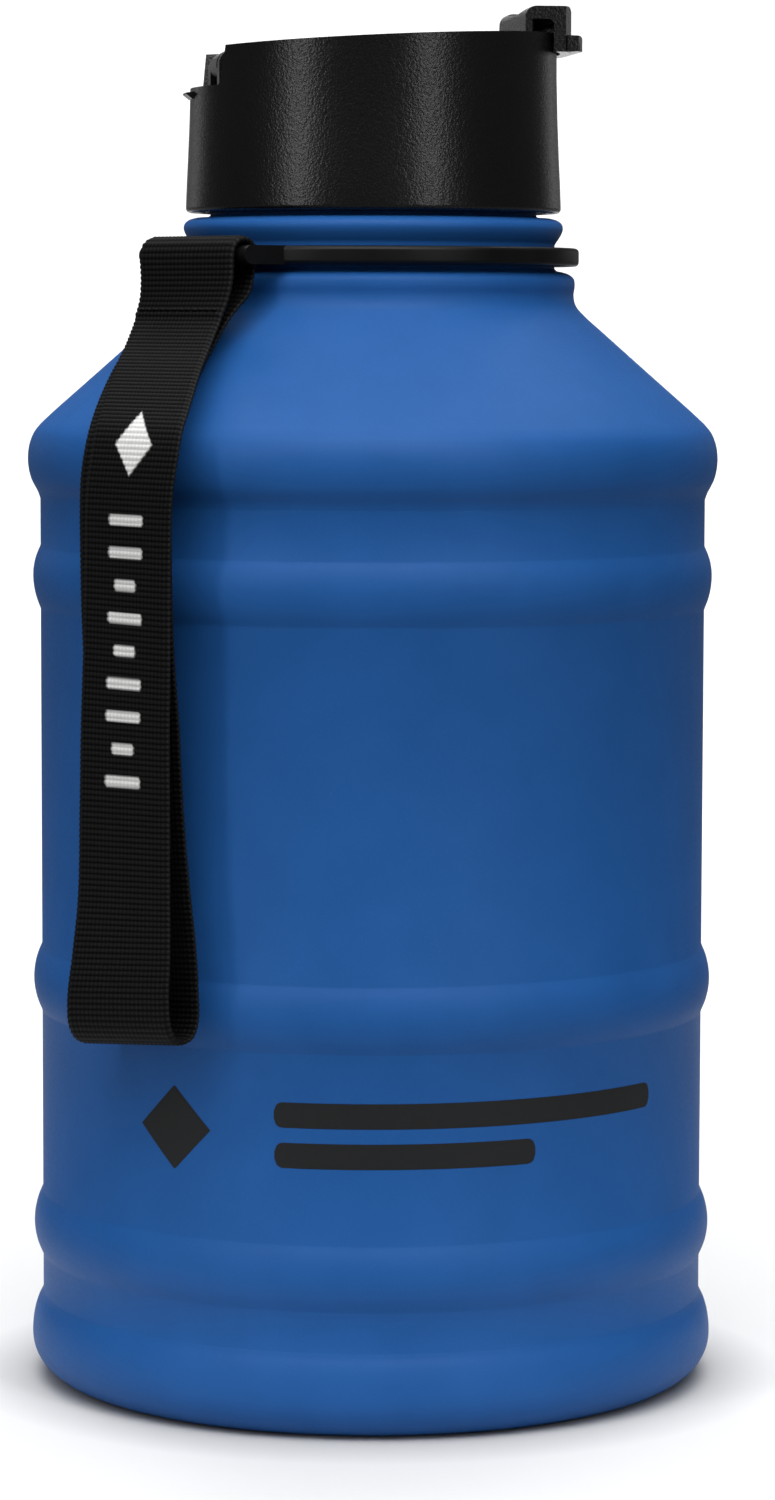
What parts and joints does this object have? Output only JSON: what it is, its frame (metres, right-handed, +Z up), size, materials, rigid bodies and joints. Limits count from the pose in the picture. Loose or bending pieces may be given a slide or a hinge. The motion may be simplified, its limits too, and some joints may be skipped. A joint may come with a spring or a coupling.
{
  "type": "water jug",
  "caption": "Large steel water jug with rolled rings, screw cap with flip lid over a spout, neck ring and webbing hand strap.",
  "frame": {"origin": "centre of the jug's axis on the plane of the foot", "axes": "+Z up along the jug's axis, +X toward the nose of the flip lid, the strap hangs in the -X, -Y quarter"},
  "size_m": [0.1252, 0.1252, 0.2485],
  "materials": {
    "painted_steel": "matte blue powder coat outside, bare steel inside",
    "bare_steel": "brushed",
    "grained_plastic": "fine moulded grain",
    "lid_plastic": "fine moulded grain",
    "silicone": "soft satin silicone",
    "pin_steel": "drawn wire",
    "ring_plastic": "smooth satin",
    "webbing": "plain-woven polyester webbing"
  },
  "bodies": {
    "jug": {"body_shell": "painted_steel", "base_plate": "bare_steel"},
    "cap_carrier": {"cap_gasket": "silicone"},
    "cap": {"cap_shell": "grained_plastic", "hinge_pin": "pin_steel"},
    "flip": {"flip_lid": "lid_plastic", "spout_plug": "silicone"},
    "ring": {"strap_ring": "ring_plastic"},
    "strap": {"strap": "webbing"}
  },
  "joints": [
    {"name": "cap_lift", "type": "slide", "parent": "jug", "child": "cap_carrier", "axis": [0, 0, 1], "range_m": [0, 0.016]},
    {"name": "cap_turn", "type": "hinge", "parent": "cap_carrier", "child": "cap", "pos_m": [0, 0, 0.22], "axis": [0, 0, 1], "range_deg": [0, 720]},
    {"name": "flip_open", "type": "hinge", "parent": "cap", "child": "flip", "pos_m": [-0.0265, 0, 0.238], "axis": [0, -1, 0], "range_deg": [0, 180]},
    {"name": "ring_swivel", "type": "hinge", "parent": "jug", "child": "ring", "pos_m": [0, 0, 0.20395], "axis": [0, 0, 1], "continuous": true},
    {"name": "strap_swing", "type": "hinge", "parent": "ring", "child": "strap", "pos_m": [-0.03424, -0.02362, 0.20395], "axis": [-0.5678, 0.8231, 0], "range_deg": [0, 120]}
  ],
  "couplings": [
    {"joint": "cap_lift", "follows": "cap_turn", "m_per_rad": 0.0012732}
  ]
}
